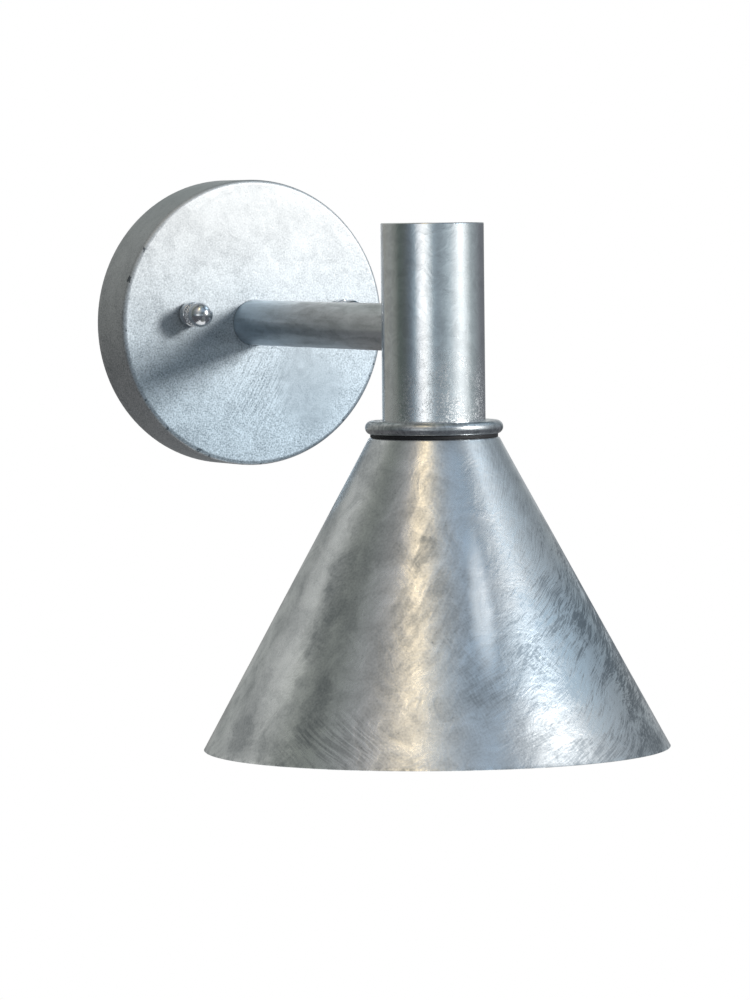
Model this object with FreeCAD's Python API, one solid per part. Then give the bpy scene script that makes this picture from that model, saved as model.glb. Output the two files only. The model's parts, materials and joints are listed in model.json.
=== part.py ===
import FreeCAD, Part
import math
import os

# Outdoor wall light in millimetres. The wall is the plane y = 0 and the light stands out from it
# towards -Y. The origin is on the wall, on the axis of the dish and the arm, and +Z is up.
# "out" is a distance from the wall, so y = -out.

# Fits
run_fit = 0.05            # radial gap of a thread or a shaft that turns
weld_fit = 0.05           # radial gap inside a welded joint
plug_fit = 0.1            # radial gap round a bush, a barrel or a core in its seat
stud_fit = 0.5            # radial gap of a stud in its hole in the dish
overrun = 1.0             # how far a cutter runs past what it cuts

# Dish on the wall
canopy_r = 74.0
canopy_depth = 33.0
canopy_wall = 2.0
canopy_edge_r = 2.4
drain_r = 4.0             # half-round notch at the dish's lowest point, at the wall

# Studs and the polished nuts
stud_left_inset = 37.4    # from the dish's edge in to the left stud's axis
stud_right_inset = 24.6   # the pair stands off the dish's centre
stud_z = 5.0
stud_r = 2.5
stud_grip = 11.0          # how far a stud reaches into its nut
stud_head_r = 4.5
stud_head_h = 3.0
stud_tip_chamfer = 0.6
lock_nut_flats = 8.0
lock_nut_h = 2.7
washer_r = 5.9
washer_t = 1.0
nut_base_r = 6.3
nut_base_h = 5.0
nut_base_chamfer = 0.4
nut_ridges = 3
nut_groove_share = 0.35   # share of a ridge's pitch that its groove takes
nut_ridge_r = 5.9
nut_groove_r = 5.2
nut_ball_r = 6.4
nut_ball_h = 12.8         # the ball's centre above the nut's base
nut_bore_depth = 13.0

# Strap on the wall
strap_t = 2.0
strap_width = 25.0
strap_overhang = 9.5      # from a stud's axis to the strap's end
strap_corner_r = 4.0
joggle_h = 4.3            # how far the strap's ends stand off the wall
joggle_run = 5.0
joggle_inset = 11.0       # from a stud's axis in to the bend
slot_inset = 21.0         # from a stud's axis in to the slot's middle
slot_length = 14.0
slot_width = 5.0

# Arm
arm_r = 11.7
arm_wall = 2.0
arm_reach = 240.5         # from the wall to the axis of the upright tube
arm_stub = 2.0            # how far the arm reaches through the dish's face
bush_wall = 1.9
bush_length = 10.0
bush_flange_r = 11.2
bush_flange_t = 1.5
bush_lip = 2.5            # how far the outer bush reaches into the upright tube
bush_chamfer = 0.6

# Upright tube
head_r = 25.0
head_wall = 2.0
head_top_z = 51.2
head_bottom_z = -51.0
head_edge_r = 0.5
disc_t = 2.0
collar_r = 33.5
collar_h = 6.6
gasket_r = 31.0
gasket_t = 1.3

# Shade
shade_top_r = 31.4        # where the cone's line meets the plane of the shade's top
shade_bottom_r = 113.5
shade_bottom_z = -203.4
shade_wall = 1.5
shade_corner_r = 2.2

# Hanging of the lampholder
bridge_t = 2.0
bridge_width = 18.0
bridge_top_z = -17.0
nipple_r = 5.0
nipple_bore_r = 3.9
nipple_stand = 6.0        # how far the nipple stands above the bridge
nipple_depth = 8.5        # how far it reaches below the bridge
nipple_nut_flats = 14.0
nipple_nut_h = 3.5

# Lampholder
holder_r = 20.5
holder_wall = 2.0
holder_neck_r = 9.0
holder_neck_h = 3.0
holder_neck_depth = 7.5
holder_dome_h = 7.0
cap_h = 18.0
shoulder_r = 22.5
shoulder_h = 4.3
skirt_r = 19.2
skirt_bore_r = 16.0
skirt_h = 26.7            # from the shade's top plane down to the lampholder's mouth
core_h = 6.0
core_drop = 4.0           # from the cap's lower edge down to the core's top
terminal_x = 8.0
terminal_size = 6.0
terminal_h = 5.5
terminal_hole_r = 1.4
terminal_hole_depth = 4.0
shell_bore_r = 13.45
shell_t = 0.35
shell_flare = 1.0
shell_h = 25.0
shell_window_r = 10.0
contact_t = 0.6
contact_w = 5.0
contact_flat = 5.0
contact_drop = 3.4
side_contact_w = 5.0
side_contact_length = 5.5

# Ribbed ring that clamps the shade
ring_fit = 0.08
ring_flange_r = 24.5
ring_flange_h = 3.0
ring_grip_r = 22.6
ring_h = 12.0
ring_grooves = 12
ring_groove_r = 1.1
ring_chamfer = 0.6
shade_hole_fit = 1.0

# Lamp
tip_gap = 0.2
tip_r = 3.6
tip_h = 1.0
insulator_h = 2.6
insulator_r = 11.6
lamp_cap_r = 13.1
lamp_cap_h = 21.0
lamp_cap_t = 0.4
lamp_neck_r = 13.3
lamp_body_h = 44.0
lamp_body_r = 28.6
lamp_body_mid_r = 18.0
lamp_body_mid_share = 0.45
globe_r = 30.0
globe_t = 1.0
globe_drop = 9.0          # from the body's lower edge to the globe's centre
led_r = 19.0
led_t = 1.6

# Terminal block, its screws and the earth point
pole_pitch = 9.5
pole_w = 9.5
block_h = 18.0
block_edge_gap = 25.0     # from the dish's inside at its lowest point up to the block
block_lower_t = 9.0       # thickness of the block's solid base
chimney_r = 3.7
chimney_h = 5.5
barrel_r = 3.1
barrel_bore_r = 1.7
clamp_r = 1.5
clamp_head_r = 2.3
clamp_head_h = 1.6
clamp_spacing = 8.0
boss_h = 5.0
boss_r = 3.6
fixing_r = 1.5
fixing_head_r = 2.7
fixing_head_h = 1.8
fixing_depth = 3.6        # how far a fixing screw reaches into its boss
earth_x = 25.0
earth_rise = 18.0         # above the block's middle
earth_boss_r = 5.5
earth_screw_r = 2.0
earth_head_r = 3.9
earth_head_h = 2.4
earth_washer_r = 4.3
earth_washer_t = 0.8
earth_tag_r = 4.4
earth_tag_t = 0.8
tag_barrel_r = 2.1
tag_barrel_length = 7.0
tag_shank = 9.0           # from the earth screw's axis down to the tag's barrel

# Wires
wire_r = 1.15
wire_apart = 3.2
wire_z = 2.0              # height of the wires in the arm
wire_rise_share = 0.26    # share of the height from the block to the arm that rises straight
wire_cross_share = 0.26   # share in which the wires draw together
wire_end_gap = 0.4        # from a wire's end to the foot of its hole
wire_spread = 2.5         # straight stretch below the nipple and above the terminals
arc_share = 0.45          # share of the shorter run that an arc's tangent takes
earth_loop_drop = 10.0
bare_end = 6.0            # how far a wire reaches into its barrel

# Places that follow from the sizes
arm_bore_r = arm_r - arm_wall
head_bore_r = head_r - head_wall
canopy_inside = canopy_depth - canopy_wall
arm_start = canopy_inside - arm_stub
nut_base_out = canopy_depth + washer_t
shade_top_z = head_bottom_z - gasket_t
shade_plate_z = shade_top_z - shade_wall
bridge_z = bridge_top_z - bridge_t
cap_bottom_z = bridge_z - cap_h
shoulder_top_z = shade_top_z + shoulder_h
mouth_z = shade_top_z - skirt_h
core_top_z = cap_bottom_z - core_drop
core_z = core_top_z - core_h
block_out = canopy_inside - boss_h
pole_out = block_out - block_lower_t / 2
chimney_out = block_out - block_lower_t - chimney_h
tip_z = core_z - contact_drop - contact_t - tip_gap
stud_xs = [stud_left_inset - canopy_r, canopy_r - stud_right_inset]
stud_spacing = stud_xs[1] - stud_xs[0]
stud_middle_x = (stud_xs[0] + stud_xs[1]) / 2
slot_spacing = stud_spacing - slot_inset * 2
block_bottom_z = canopy_wall - canopy_r + block_edge_gap
block_top_z = block_bottom_z + block_h
block_middle_z = block_bottom_z + block_h / 2
earth_z = block_middle_z + earth_rise
pole_xs = [-pole_pitch, 0, pole_pitch]
fixing_xs = [-pole_pitch / 2, pole_pitch / 2]
clamp_zs = [block_middle_z - clamp_spacing / 2, block_middle_z + clamp_spacing / 2]

vector = FreeCAD.Vector
east, north, up = vector(1, 0, 0), vector(0, 1, 0), vector(0, 0, 1)
full_turn = 360


def save(name, shape):
    """Write one node, after a check that it is sound."""
    solids = shape.Solids
    assert solids and shape.isValid(), name
    if len(solids) > 1:
        shape = Part.makeCompound(solids)
    else:
        shape = solids[0]
    shape.exportStep(os.path.join("parts", name + ".step"))


def outline(start, *steps):
    """Close a flat outline in the XZ plane. A step is the end of a line, or a middle and an end of an arc."""
    here, edges = start, []
    for step in steps + (start,):
        if isinstance(step[0], tuple):
            middle, end = step
            points = [vector(a, 0, b) for a, b in (here, middle, end)]
            edges.append(Part.Arc(*points).toShape())
        else:
            end = step
            if end != here:
                edges.append(Part.makeLine(vector(here[0], 0, here[1]), vector(end[0], 0, end[1])))
        here = end
    return Part.Face(Part.Wire(edges))


def turned(face):
    """Turn an outline of (radius, z) points about the axis of the upright tube."""
    solid = face.revolve(vector(0, 0, 0), up, full_turn)
    solid.translate(vector(0, -arm_reach, 0))
    return solid


def turned_out(face, x=0, z=0):
    """Turn an outline of (radius, out) points about an axis that leaves the wall at x, z."""
    solid = face.revolve(vector(0, 0, 0), up, full_turn)
    solid.rotate(vector(0, 0, 0), east, full_turn / 4)
    solid.translate(vector(x, 0, z))
    return solid


def rod_out(radius, start, end, x=0, z=0):
    """A round bar that leaves the wall at x, z."""
    return Part.makeCylinder(radius, end - start, vector(x, -start, z), -north)


def rod_up(radius, low, high, x=0, out=arm_reach):
    """An upright round bar, on the axis of the upright tube unless told otherwise."""
    return Part.makeCylinder(radius, high - low, vector(x, -out, low), up)


def block(x0, x1, out0, out1, z0, z1):
    """A plain block between two distances from the wall."""
    return Part.makeBox(x1 - x0, out1 - out0, z1 - z0, vector(x0, -out1, z0))


def hexagon(flats, height, place, axis):
    """A hexagonal bar, by its width across flats."""
    corner = flats / math.sqrt(3)
    angles = [math.pi * i / 3 for i in range(7)]
    points = [vector(corner * math.cos(a), corner * math.sin(a), 0) for a in angles]
    bar = Part.Face(Part.makePolygon(points)).extrude(vector(0, 0, height))
    bar.Placement = FreeCAD.Placement(place, FreeCAD.Rotation(up, axis))
    return bar


def rounded_arc(corner, radius, turn_from, turn_to):
    """Middle and end of an arc about a centre, between two angles in degrees."""
    middle = math.radians((turn_from + turn_to) / 2)
    end = math.radians(turn_to)
    a, b = corner
    return ((a + radius * math.cos(middle), b + radius * math.sin(middle)),
            (a + radius * math.cos(end), b + radius * math.sin(end)))


def cable(name, points, radius=wire_r):
    """A round wire on straight runs joined by tangent arcs."""
    points = [vector(*p) for p in points]
    edges, here, radii = [], points[0], []
    for before, corner, after in zip(points, points[1:], points[2:]):
        back, ahead = before - corner, after - corner
        reach = arc_share * min(back.Length, ahead.Length)
        half_turn = (math.pi - back.getAngle(ahead)) / 2
        bend = reach / math.tan(half_turn)
        back.normalize()
        ahead.normalize()
        enter, leave = corner + back * reach, corner + ahead * reach
        inward = back + ahead
        inward.normalize()
        middle = corner + inward * (bend / math.cos(half_turn) - bend)
        edges.append(Part.makeLine(here, enter))
        edges.append(Part.Arc(enter, middle, leave).toShape())
        here = leave
        radii.append(bend)
    edges.append(Part.makeLine(here, points[-1]))
    path = Part.Wire(edges)
    ring = Part.Wire(Part.makeCircle(radius, points[0], points[1] - points[0]))
    pipe = Part.BRepOffsetAPI.MakePipeShell(path)
    pipe.add(ring, False, False)
    pipe.build()
    pipe.makeSolid()
    solid = pipe.shape()
    expected = math.pi * radius ** 2 * path.Length
    print(name, "length", round(path.Length, 1), "bends", [round(r, 1) for r in radii],
          "volume share", round(solid.Volume / expected, 4))
    return solid


# Wall side

def wall_bracket():
    half = stud_spacing / 2 + strap_overhang
    bend = stud_spacing / 2 - joggle_inset
    lean = math.atan2(joggle_h, joggle_run)
    shift = strap_t * math.tan(lean / 2)
    rear = [(-half, joggle_h), (-bend - joggle_run, joggle_h), (-bend, 0),
            (bend, 0), (bend + joggle_run, joggle_h), (half, joggle_h)]
    front = [(half, joggle_h + strap_t), (bend + joggle_run - shift, joggle_h + strap_t),
             (bend - shift, strap_t), (-bend + shift, strap_t),
             (-bend - joggle_run + shift, joggle_h + strap_t), (-half, joggle_h + strap_t)]
    side = Part.Face(Part.makePolygon([vector(a, -b, 0) for a, b in rear + front + rear[:1]]))
    strap = side.extrude(vector(0, 0, strap_width))
    strap.translate(vector(stud_middle_x, 0, stud_z - strap_width / 2))
    reach = joggle_h + strap_t + overrun
    blank = block(stud_middle_x - half, stud_middle_x + half, -overrun, reach,
                  stud_z - strap_width / 2, stud_z + strap_width / 2)
    corners = [e for e in blank.Edges if e.BoundBox.YLength > strap_t]
    strap = strap.common(blank.makeFillet(strap_corner_r, corners))
    for side_share in (-1, 1):
        middle = stud_middle_x + side_share * slot_spacing / 2
        straight = (slot_length - slot_width) / 2
        slot = block(middle - straight, middle + straight, -overrun, reach,
                     stud_z - slot_width / 2, stud_z + slot_width / 2)
        for x in (middle - straight, middle + straight):
            slot = slot.fuse(rod_out(slot_width / 2, -overrun, reach, x, stud_z))
        strap = strap.cut(slot)
    for x in stud_xs:
        strap = strap.cut(rod_out(stud_r + run_fit, -overrun, reach, x, stud_z))
    save("wall_bracket", strap)


def bracket_studs():
    low = joggle_h - stud_head_h
    tip = nut_base_out + stud_grip
    face = outline((0, low), (stud_head_r, low), (stud_head_r, joggle_h), (stud_r, joggle_h),
                   (stud_r, tip - stud_tip_chamfer), (stud_r - stud_tip_chamfer, tip), (0, tip))
    save("bracket_studs", Part.makeCompound([turned_out(face, x, stud_z) for x in stud_xs]))


def stud_lock_nuts():
    nuts = []
    for x in stud_xs:
        seat = joggle_h + strap_t
        nut = hexagon(lock_nut_flats, lock_nut_h, vector(x, -seat, stud_z), -north)
        nuts.append(nut.cut(rod_out(stud_r + run_fit, seat - overrun, seat + lock_nut_h + overrun,
                                    x, stud_z)))
    save("stud_lock_nuts", Part.makeCompound(nuts))


def canopy():
    inner_r = canopy_r - canopy_wall
    outer_c = (canopy_r - canopy_edge_r, canopy_depth - canopy_edge_r)
    face = outline((0, canopy_depth), (outer_c[0], canopy_depth),
                   rounded_arc(outer_c, canopy_edge_r, 90, 0), (canopy_r, 0), (inner_r, 0),
                   (inner_r, canopy_inside), (0, canopy_inside))
    dish = turned_out(face)
    bosses = [(x, block_middle_z, boss_r) for x in fixing_xs] + [(earth_x, earth_z, earth_boss_r)]
    for x, z, radius in bosses:
        dish = dish.fuse(rod_out(radius, block_out, canopy_inside, x, z))
    cuts = [rod_out(stud_r + stud_fit, canopy_inside - overrun, canopy_depth + overrun, x, stud_z)
            for x in stud_xs]
    cuts.append(rod_out(arm_r + weld_fit, canopy_inside - overrun, canopy_depth + overrun))
    for x, z, radius in bosses:
        thread_r = earth_screw_r if radius == earth_boss_r else fixing_r
        depth = fixing_depth + run_fit
        cuts.append(rod_out(thread_r + run_fit, block_out - overrun, block_out + depth, x, z))
    notch = Part.makeCylinder(drain_r, canopy_wall * 2 + canopy_edge_r, vector(0, 0, -canopy_r), up)
    cuts.append(notch)
    for cutter in cuts:
        dish = dish.cut(cutter)
    save("canopy", dish)


def seal_washers():
    for name, x in zip(("seal_washer_left", "seal_washer_right"), stud_xs):
        ring = rod_out(washer_r, canopy_depth, nut_base_out, x, stud_z)
        hole = rod_out(stud_r + plug_fit, canopy_depth - overrun, nut_base_out + overrun, x, stud_z)
        save(name, ring.cut(hole))


def cap_nuts():
    dip = math.sqrt(nut_ball_r ** 2 - nut_groove_r ** 2)
    neck_top = nut_ball_h - dip
    pitch = (neck_top - nut_base_h) / nut_ridges
    ridges = []
    for i in range(nut_ridges):
        groove = nut_base_h + i * pitch
        ridge = groove + pitch * nut_groove_share
        ridges += [(nut_groove_r, groove), (nut_groove_r, ridge), (nut_ridge_r, ridge),
                   (nut_ridge_r, groove + pitch)]
    start_turn = -math.degrees(math.asin(dip / nut_ball_r))
    face = outline((0, 0), (nut_base_r, 0), (nut_base_r, nut_base_h - nut_base_chamfer),
                   (nut_base_r - nut_base_chamfer, nut_base_h), *ridges, (nut_groove_r, neck_top),
                   rounded_arc((0, nut_ball_h), nut_ball_r, start_turn, 90))
    for name, x in zip(("cap_nut_left", "cap_nut_right"), stud_xs):
        nut = turned_out(face, x, stud_z)
        nut.translate(vector(0, -nut_base_out, 0))
        bore = rod_out(stud_r + run_fit, nut_base_out - overrun, nut_base_out + nut_bore_depth,
                       x, stud_z)
        save(name, nut.cut(bore))


# Terminal block and earth point

def terminal_block():
    low, high = block_bottom_z, block_top_z
    base_out = block_out - block_lower_t
    width = pole_pitch + pole_w / 2
    body = block(-width, width, base_out, block_out, low, high)
    for x in pole_xs:
        for z in clamp_zs:
            body = body.fuse(rod_out(chimney_r, chimney_out, base_out + overrun, x, z))
    for x in pole_xs:
        body = body.cut(rod_up(barrel_r + run_fit, low - overrun, high + overrun, x, pole_out))
        for z in clamp_zs:
            body = body.cut(rod_out(clamp_head_r + plug_fit, chimney_out - overrun, pole_out, x, z))
    for x in fixing_xs:
        body = body.cut(rod_out(fixing_r + plug_fit, base_out - overrun, block_out + overrun,
                                x, block_middle_z))
        body = body.cut(rod_out(fixing_head_r + plug_fit, base_out - overrun,
                                base_out + fixing_head_h, x, block_middle_z))
    save("terminal_block", body)
    barrels = []
    for x in pole_xs:
        tube = rod_up(barrel_r, low + overrun, high - overrun, x, pole_out)
        tube = tube.cut(rod_up(barrel_bore_r, low, high, x, pole_out))
        for z in clamp_zs:
            tube = tube.cut(rod_out(clamp_r + run_fit, pole_out - barrel_r - overrun, pole_out, x, z))
        barrels.append(tube)
    save("terminal_barrels", Part.makeCompound(barrels))


def slotted_screw(head_r, head_h, shank_r, shank_end, head_out, x, z):
    """A cheese-head screw whose head faces the wall."""
    screw = rod_out(head_r, head_out, head_out + head_h, x, z)
    screw = screw.fuse(rod_out(shank_r, head_out + head_h, shank_end, x, z))
    half_slot = head_r / 6
    slot = block(x - head_r - overrun, x + head_r + overrun, head_out - overrun,
                 head_out + head_h / 2, z - half_slot, z + half_slot)
    return screw.cut(slot)


def terminal_screws():
    head_out = pole_out - barrel_r - clamp_head_h - plug_fit
    tip = pole_out - wire_r - plug_fit
    screws = [slotted_screw(clamp_head_r, clamp_head_h, clamp_r, tip, head_out, x, z)
              for x in pole_xs for z in clamp_zs]
    save("terminal_screws", Part.makeCompound(screws))
    base_out = block_out - block_lower_t
    screws = [slotted_screw(fixing_head_r, fixing_head_h, fixing_r, block_out + fixing_depth,
                            base_out, x, block_middle_z) for x in fixing_xs]
    save("block_screws", Part.makeCompound(screws))


def earth_point():
    tag_out = block_out - earth_tag_t
    washer_out = tag_out - earth_washer_t
    bore = rod_out(earth_screw_r + run_fit, washer_out - overrun, block_out + overrun,
                   earth_x, earth_z)
    screw = slotted_screw(earth_head_r, earth_head_h, earth_screw_r, block_out + fixing_depth,
                          washer_out - earth_head_h, earth_x, earth_z)
    save("earth_screw", screw)
    save("earth_washer", rod_out(earth_washer_r, washer_out, tag_out, earth_x, earth_z).cut(bore))
    tag = rod_out(earth_tag_r, tag_out, block_out, earth_x, earth_z)
    neck = block(earth_x - wire_r, earth_x + wire_r, tag_out, block_out,
                 earth_z - tag_shank - overrun, earth_z)
    barrel_axis = block_out - tag_barrel_r
    low = earth_z - tag_shank - tag_barrel_length
    barrel = rod_up(tag_barrel_r, low, earth_z - tag_shank, earth_x, barrel_axis)
    hole_top = earth_z - tag_shank - earth_tag_t
    hole = rod_up(wire_r + run_fit, low - overrun, hole_top, earth_x, barrel_axis)
    save("earth_tag", tag.fuse(neck).fuse(barrel).cut(hole).cut(bore))
    below = block_bottom_z - earth_loop_drop
    foot = block_bottom_z + bare_end
    route = [(0, -pole_out, foot), (0, -pole_out, below),
             (earth_x, -(pole_out + barrel_axis) / 2, below),
             (earth_x, -barrel_axis, low - tag_barrel_length),
             (earth_x, -barrel_axis, hole_top - wire_end_gap)]
    save("earth_wire", cable("earth_wire", route))


# Arm and upright tube

def bush(start, end):
    """A plain sleeve for the arm's bore, chamfered at its far end."""
    outer_r = arm_bore_r - plug_fit
    inner_r = outer_r - bush_wall
    face = outline((inner_r, start), (outer_r, start), (outer_r, end - bush_chamfer),
                   (outer_r - bush_chamfer, end), (inner_r, end))
    return turned_out(face)


def arm_parts():
    end = arm_reach - math.sqrt(head_r ** 2 - arm_r ** 2) + overrun
    arm = rod_out(arm_r, arm_start, end).cut(rod_out(arm_bore_r, arm_start - overrun, end + overrun))
    save("arm_tube", arm.cut(rod_up(head_r, -head_r, head_r)))
    sleeve = bush(arm_start, arm_start + bush_length)
    flange = rod_out(bush_flange_r, arm_start - bush_flange_t, arm_start)
    hole = rod_out(arm_bore_r - plug_fit - bush_wall, arm_start - bush_flange_t - overrun, arm_start)
    save("arm_bush", sleeve.fuse(flange.cut(hole)))
    inner_wall = arm_reach - head_bore_r
    save("tube_bush", bush(inner_wall - bush_length, inner_wall + bush_lip))


def head_tube():
    face = outline((head_bore_r, head_bottom_z), (head_r, head_bottom_z),
                   (head_r, head_top_z - head_edge_r),
                   rounded_arc((head_r - head_edge_r, head_top_z - head_edge_r), head_edge_r, 0, 90),
                   (head_bore_r, head_top_z))
    hole = rod_out(arm_bore_r, arm_reach - head_r - overrun, arm_reach)
    save("head_tube", turned(face).cut(hole))
    save("top_disc", rod_up(head_bore_r - weld_fit, head_top_z - disc_t, head_top_z))


def collar():
    half = collar_h / 2
    middle_z = head_bottom_z + half
    bore_r = head_r + weld_fit
    face = outline((bore_r, head_bottom_z), (collar_r - half, head_bottom_z),
                   rounded_arc((collar_r - half, middle_z), half, -90, 90),
                   (bore_r, head_bottom_z + collar_h))
    save("collar_ring", turned(face))
    gasket = rod_up(gasket_r, shade_top_z, head_bottom_z)
    bore = rod_up(head_bore_r, shade_top_z - overrun, head_bottom_z + overrun)
    save("shade_gasket", gasket.cut(bore))


# Shade and the ring that clamps it

def shade():
    hole_r = skirt_r + shade_hole_fit
    lean = math.atan2(shade_bottom_r - shade_top_r, shade_top_z - shade_bottom_z)
    tilt = math.degrees(lean)
    # The rounding's centre lies where its circle touches the wall and the level top.
    corner_reach = shade_corner_r * math.tan((math.pi / 2 - lean) / 2)
    corner_c = (shade_top_r - corner_reach, shade_top_z - shade_corner_r)
    level_wall = shade_wall / math.cos(lean)
    inner_top_r = shade_top_r + shade_wall * math.tan(lean) - level_wall
    face = outline((hole_r, shade_top_z), (corner_c[0], shade_top_z),
                   rounded_arc(corner_c, shade_corner_r, 90, tilt), (shade_bottom_r, shade_bottom_z),
                   (shade_bottom_r - level_wall, shade_bottom_z), (inner_top_r, shade_plate_z),
                   (hole_r, shade_plate_z))
    save("shade", turned(face))


def shade_ring():
    bore_r = skirt_r + ring_fit
    bottom = shade_plate_z - ring_h
    flange_z = shade_plate_z - ring_flange_h
    face = outline((bore_r, shade_plate_z), (ring_flange_r, shade_plate_z),
                   (ring_flange_r, flange_z + ring_chamfer), (ring_flange_r - ring_chamfer, flange_z),
                   (ring_grip_r, flange_z), (ring_grip_r, bottom + ring_chamfer),
                   (ring_grip_r - ring_chamfer, bottom), (bore_r, bottom))
    ring = turned(face)
    for i in range(ring_grooves):
        angle = 2 * math.pi * i / ring_grooves
        groove = rod_up(ring_groove_r, bottom - overrun, flange_z)
        groove.translate(vector(ring_grip_r * math.cos(angle), ring_grip_r * math.sin(angle), 0))
        ring = ring.cut(groove)
    save("shade_ring", ring)


# Lampholder and what it hangs from

def hanging():
    disc = rod_up(head_bore_r - weld_fit, bridge_z, bridge_top_z)
    bar = block(-head_r, head_r, arm_reach - bridge_width / 2, arm_reach + bridge_width / 2,
                bridge_z, bridge_top_z)
    top, low = bridge_top_z + nipple_stand, bridge_z - nipple_depth
    thread = rod_up(nipple_r + run_fit, low, top)
    save("bridge_plate", disc.common(bar).cut(thread))
    save("nipple", rod_up(nipple_r, low, top).cut(rod_up(nipple_bore_r, low - overrun, top + overrun)))
    nut = hexagon(nipple_nut_flats, nipple_nut_h, vector(0, -arm_reach, bridge_top_z), up)
    save("nipple_lock_nut", nut.cut(thread))


def holder():
    neck_z = bridge_z - holder_neck_h
    dome_z = neck_z - holder_dome_h
    bore_r = nipple_r + run_fit
    inner_r = holder_r - holder_wall
    bulge = ((holder_neck_r + holder_r * 2) / 3, neck_z - holder_dome_h / 3)
    bulge_inside = (bulge[0] - holder_wall, bulge[1] - holder_wall)
    cap = outline((bore_r, bridge_z), (holder_neck_r, bridge_z), (holder_neck_r, neck_z),
                  bulge, (holder_r, dome_z), (holder_r, cap_bottom_z),
                  (inner_r, cap_bottom_z), (inner_r, dome_z - holder_wall / 2), bulge_inside,
                  (holder_neck_r, neck_z - holder_wall),
                  (holder_neck_r, bridge_z - holder_neck_depth), (bore_r, bridge_z - holder_neck_depth))
    save("holder_cap", turned(cap))
    core_r = inner_r - plug_fit
    barrel = outline((inner_r, cap_bottom_z), (holder_r, cap_bottom_z), (holder_r, shoulder_top_z),
                     (shoulder_r, shoulder_top_z), (shoulder_r, shade_top_z), (skirt_r, shade_top_z),
                     (skirt_r, mouth_z), (skirt_bore_r, mouth_z), (skirt_bore_r, core_z),
                     (inner_r, core_z))
    save("holder_barrel", turned(barrel))
    core = rod_up(core_r, core_z, core_top_z)
    tongue = (shell_bore_r - side_contact_length, shell_bore_r)
    pocket = block(tongue[0] - plug_fit, tongue[1] + plug_fit, arm_reach - side_contact_w / 2 - plug_fit,
                   arm_reach + side_contact_w / 2 + plug_fit, core_z - overrun, core_z + contact_t)
    save("holder_core", core.cut(pocket))
    side = block(tongue[0], tongue[1], arm_reach - side_contact_w / 2,
                 arm_reach + side_contact_w / 2, core_z, core_z + contact_t)
    save("side_contact", side)
    terminals = []
    for x in (-terminal_x, terminal_x):
        cube = block(x - terminal_size / 2, x + terminal_size / 2, arm_reach - terminal_size / 2,
                     arm_reach + terminal_size / 2, core_top_z, core_top_z + terminal_h)
        top = core_top_z + terminal_h
        terminals.append(cube.cut(rod_up(terminal_hole_r, top - terminal_hole_depth, top + overrun, x)))
    save("holder_terminals", Part.makeCompound(terminals))
    inner, outer = shell_bore_r, shell_bore_r + shell_t
    shell_z = core_z - shell_h
    shell = outline((shell_window_r, core_z), (outer, core_z), (outer, shell_z + shell_flare),
                    (outer + shell_flare, shell_z), (inner + shell_flare, shell_z),
                    (inner, shell_z + shell_flare), (inner, core_z - shell_t),
                    (shell_window_r, core_z - shell_t))
    save("thread_shell", turned(shell))
    low = core_z - contact_drop
    half = tip_r / 2
    tongue = outline((-contact_flat - half, core_z), (-half, core_z), (half, low), (tip_r, low),
                     (tip_r, low - contact_t), (half - contact_t / 2, low - contact_t),
                     (-half - contact_t / 2, core_z - contact_t), (-contact_flat - half, core_z - contact_t))
    strip = tongue.extrude(vector(0, contact_w, 0))
    strip.translate(vector(0, -arm_reach - contact_w / 2, 0))
    save("centre_contact", strip)


# Lamp

def lamp():
    cone_z = tip_z - tip_h
    cap_z = cone_z - insulator_h
    save("bulb_contact", rod_up(tip_r, cone_z, tip_z))
    cone = outline((0, cone_z), (tip_r, cone_z), (insulator_r, cap_z), (0, cap_z))
    save("bulb_insulator", turned(cone))
    bore_r = lamp_cap_r - lamp_cap_t
    top = cap_z - lamp_cap_h
    cap = rod_up(lamp_cap_r, top, cap_z).cut(rod_up(bore_r, top - overrun, cap_z - lamp_cap_t))
    save("bulb_cap", cap)
    foot = top - lamp_body_h
    plug_r = bore_r - plug_fit
    middle = (lamp_body_mid_r, top - lamp_body_h * lamp_body_mid_share)
    body = outline((0, top + lamp_cap_h / 2), (plug_r, top + lamp_cap_h / 2), (plug_r, top),
                   (lamp_neck_r, top), (middle, (lamp_body_r, foot)), (0, foot))
    save("bulb_body", turned(body))
    centre_z = foot - globe_drop
    outer_foot_r = math.sqrt(globe_r ** 2 - globe_drop ** 2)
    inner = globe_r - globe_t
    inner_foot_r = math.sqrt(inner ** 2 - globe_drop ** 2)
    start = math.degrees(math.atan2(globe_drop, outer_foot_r))
    back = math.degrees(math.atan2(globe_drop, inner_foot_r))
    globe = outline((inner_foot_r, foot), (outer_foot_r, foot),
                    rounded_arc((0, centre_z), globe_r, start, -90), (0, centre_z - inner),
                    rounded_arc((0, centre_z), inner, -90, back))
    save("bulb_diffuser", turned(globe))
    save("bulb_led_board", rod_up(led_r, foot - led_t, foot))


# Wires

def wires():
    climb = wire_z - block_top_z
    spread_z = block_top_z + climb * wire_rise_share
    drawn_z = spread_z + climb * wire_cross_share
    terminal_top = core_top_z + terminal_h
    for name, side in (("live_wire", -1), ("neutral_wire", 1)):
        x, far_x, near_x = side * pole_pitch, side * terminal_x, side * wire_apart / 2
        route = [(x, -pole_out, block_top_z - bare_end), (x, -pole_out, spread_z),
                 (near_x, -pole_out, drawn_z), (near_x, -pole_out, wire_z),
                 (near_x, -arm_reach, wire_z), (near_x, -arm_reach, bridge_z - nipple_depth - wire_spread),
                 (far_x, -arm_reach, terminal_top + wire_spread / 2),
                 (far_x, -arm_reach, terminal_top - terminal_hole_depth + wire_end_gap)]
        save(name, cable(name, route))


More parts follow.
